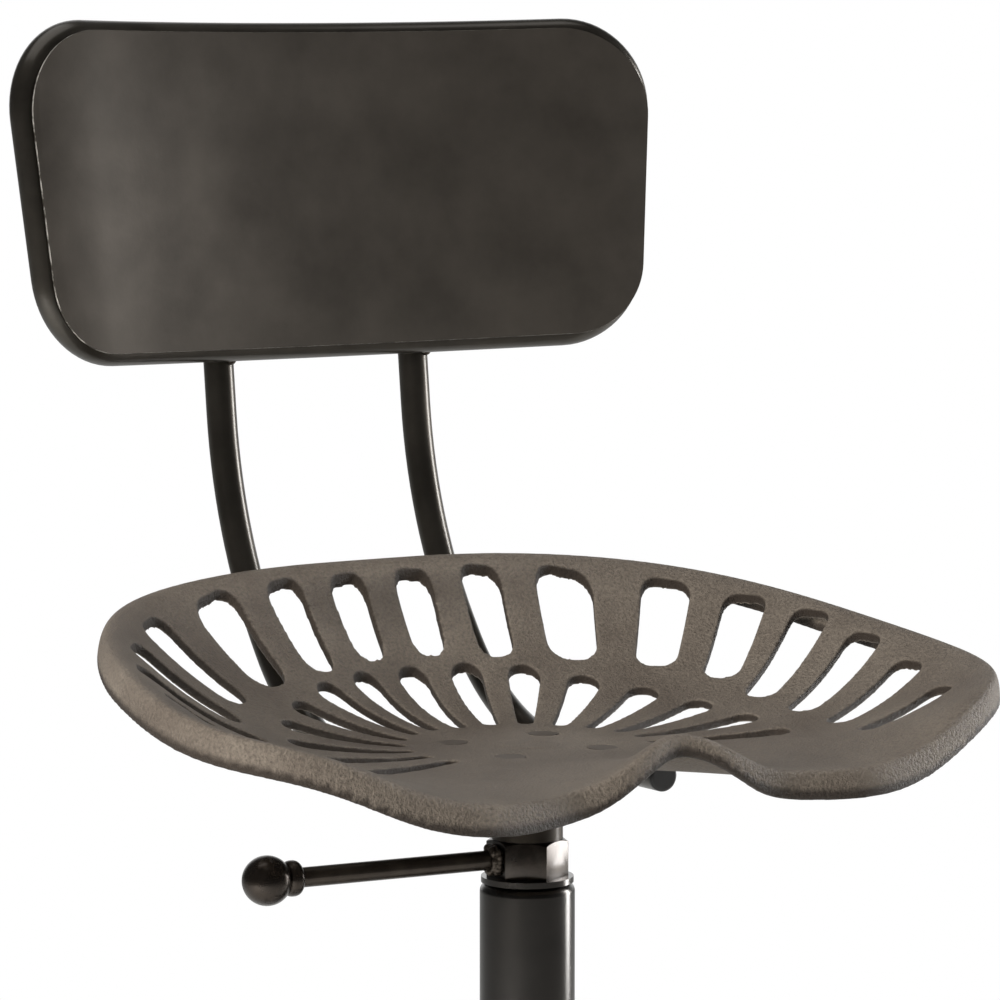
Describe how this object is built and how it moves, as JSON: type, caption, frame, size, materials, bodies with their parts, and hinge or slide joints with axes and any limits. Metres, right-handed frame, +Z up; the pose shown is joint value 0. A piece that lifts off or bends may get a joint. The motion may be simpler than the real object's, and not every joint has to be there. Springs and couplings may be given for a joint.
{
  "type": "tractor seat stool",
  "caption": "Swivel stool with a slotted cast tractor seat, curved back rest on two bent tubes, screw column with a locking lever, splayed tube legs and a foot ring.",
  "frame": {"origin": "on the floor at the column's axis", "axes": "+Z up along the column, -Y the way the sitter faces, +X the sitter's left"},
  "size_m": [0.514, 0.514, 0.9737],
  "materials": {
    "cast_seat": "sand cast, brown-grey lacquer, matte",
    "column_steel": "dark bronze, satin",
    "tube_steel": "dark bronze, satin",
    "back_steel": "dark bronze, satin",
    "lever_steel": "near-black bronze, satin",
    "under_steel": "dark bronze, satin",
    "screw_steel": "oiled, cut thread",
    "plated_steel": "zinc plated",
    "black_plastic": "moulded, matte",
    "bush_nylon": "turned, natural",
    "foot_rubber": "moulded, matte"
  },
  "bodies": {
    "base": {"column_tube": "column_steel", "thread_insert": "column_steel", "column_plug": "black_plastic", "leg_front": "tube_steel", "leg_left": "tube_steel", "leg_rear": "tube_steel", "leg_right": "tube_steel", "leg_plugs": "black_plastic", "rubber_feet": "foot_rubber", "foot_ring": "tube_steel", "leg_struts": "tube_steel", "leg_welds": "tube_steel", "ring_welds": "tube_steel"},
    "lever": {"lock_nut": "lever_steel", "lever_rod": "lever_steel", "lever_weld": "lever_steel", "ball_knob": "lever_steel"},
    "guide": {"guide_bush": "bush_nylon"},
    "seat": {"seat_pan": "cast_seat", "seat_plate": "under_steel", "seat_bolts": "cast_seat", "seat_washers": "plated_steel", "seat_nuts": "plated_steel", "spindle_hub": "under_steel", "hub_weld": "under_steel", "screw_spindle": "screw_steel", "retainer_washer": "plated_steel", "retainer_bolt": "plated_steel", "upright_right": "tube_steel", "upright_left": "tube_steel", "upright_front_plugs": "black_plastic", "upright_top_plugs": "black_plastic", "back_frame": "back_steel", "back_panel": "back_steel", "back_welds": "back_steel", "panel_tacks": "back_steel", "plate_welds": "under_steel"}
  },
  "joints": [
    {"name": "lever_lock", "type": "hinge", "parent": "base", "child": "lever", "pos_m": [0, 0, 0.5525], "axis": [0, 0, 1], "range_deg": [0, 120]},
    {"name": "seat_lift", "type": "slide", "parent": "base", "child": "guide", "axis": [0, 0, 1], "range_m": [0, 0.1505]},
    {"name": "seat_swivel", "type": "hinge", "parent": "guide", "child": "seat", "pos_m": [0, 0, 0.5], "axis": [0, 0, 1], "range_deg": [0, 10800]}
  ],
  "couplings": [
    {"joint": "seat_lift", "follows": "seat_swivel", "m_per_rad": 0.00079577}
  ]
}
